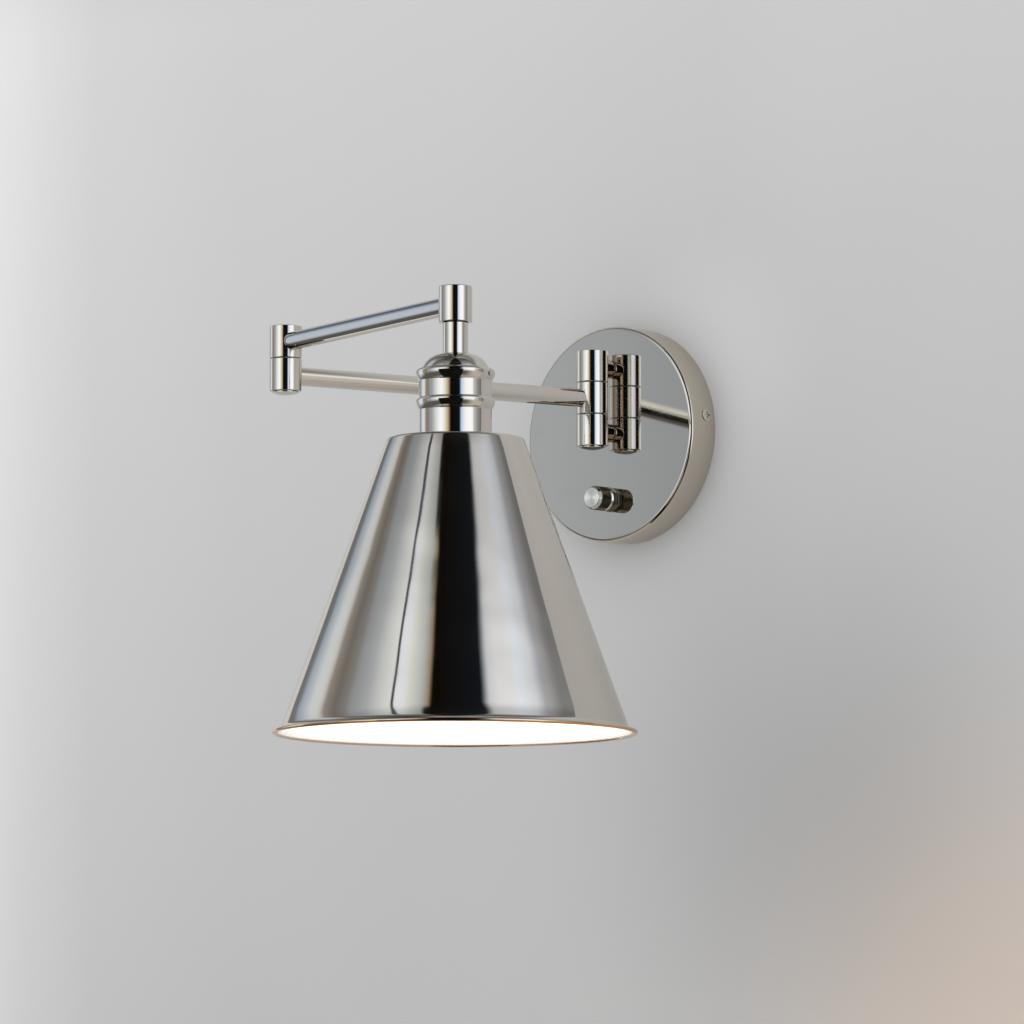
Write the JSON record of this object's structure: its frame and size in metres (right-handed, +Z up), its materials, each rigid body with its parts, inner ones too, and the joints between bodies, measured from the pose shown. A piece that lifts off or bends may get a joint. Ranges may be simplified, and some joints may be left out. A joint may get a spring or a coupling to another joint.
{
  "type": "swing arm wall sconce",
  "caption": "Wall lamp with a round back plate, a two-part swing arm on vertical knuckles, a ringed socket cup, a cone shade and a rotary dimmer knob.",
  "frame": {"origin": "centre of the wall plate's back, where the mounting strap lies on the wall", "axes": "+Y into the wall, +Z up, +X to the right of someone who faces the wall; the lamp stands out towards -Y"},
  "size_m": [0.2748, 0.373, 0.2465],
  "materials": {
    "polished_nickel": "polished nickel plate over brass and steel",
    "white_enamel": "gloss white enamel, the coat inside the shade",
    "zinc_steel": "zinc plated steel",
    "brass": "bare brass",
    "nylon": "natural nylon",
    "phenolic": "black phenolic",
    "green_steel": "green dyed zinc steel",
    "frosted_glass": "frosted white glass, lit"
  },
  "bodies": {
    "wall_bracket": {"wall_plate": "polished_nickel", "mounting_strap": "zinc_steel", "ground_screw": "green_steel", "side_screw_right": "polished_nickel", "side_screw_left": "polished_nickel", "post_upper": "polished_nickel", "post_lower": "polished_nickel", "post_washer_upper": "zinc_steel", "post_washer_lower": "zinc_steel", "post_nut_upper": "zinc_steel", "post_nut_lower": "zinc_steel", "shoulder_upper": "polished_nickel", "shoulder_lower": "polished_nickel", "shoulder_pin": "zinc_steel", "shoulder_cap": "polished_nickel", "dimmer_body": "phenolic", "dimmer_nut": "zinc_steel", "dimmer_lug_left": "brass", "dimmer_lug_right": "brass"},
    "knob": {"dimmer_shaft": "brass", "dimmer_knob": "polished_nickel", "knob_screw": "zinc_steel"},
    "lower_arm": {"shoulder_middle": "polished_nickel", "shoulder_washer_upper": "nylon", "shoulder_washer_lower": "nylon", "lower_arm_tube": "polished_nickel", "elbow_lower": "polished_nickel", "elbow_pin": "zinc_steel", "elbow_cap": "polished_nickel", "elbow_washer": "nylon"},
    "upper_arm": {"elbow_upper": "polished_nickel", "upper_arm_tube": "polished_nickel", "head_barrel": "polished_nickel", "head_sleeve": "nylon", "head_cap": "polished_nickel"},
    "shade_head": {"stem": "polished_nickel", "stem_nut": "zinc_steel", "cup_dome": "polished_nickel", "cup_nut": "zinc_steel", "socket_cup": "polished_nickel", "cup_screw": "zinc_steel", "lamp_socket": "phenolic", "socket_shell": "brass", "socket_contact": "brass", "bulb_tip": "zinc_steel", "bulb_base": "brass", "bulb_glass": "frosted_glass", "shade": "polished_nickel", "shade_ring": "phenolic"}
  },
  "joints": [
    {"name": "shoulder_hinge", "type": "hinge", "parent": "wall_bracket", "child": "lower_arm", "pos_m": [0, -0.0341, 0.0183], "axis": [0, 0, 1], "range_deg": [-73.7, 50]},
    {"name": "elbow_hinge", "type": "hinge", "parent": "lower_arm", "child": "upper_arm", "pos_m": [-0.05529, -0.22318, 0.0361], "axis": [0, 0, -1], "range_deg": [-61, 206]},
    {"name": "shade_swivel", "type": "hinge", "parent": "upper_arm", "child": "shade_head", "pos_m": [0.11685, -0.27911, 0.0361], "axis": [0, 0, 1], "range_deg": [-170, 170]},
    {"name": "dimmer_turn", "type": "hinge", "parent": "wall_bracket", "child": "knob", "pos_m": [0, -0.0228, -0.0365], "axis": [0, -1, 0], "range_deg": [0, 270]}
  ]
}
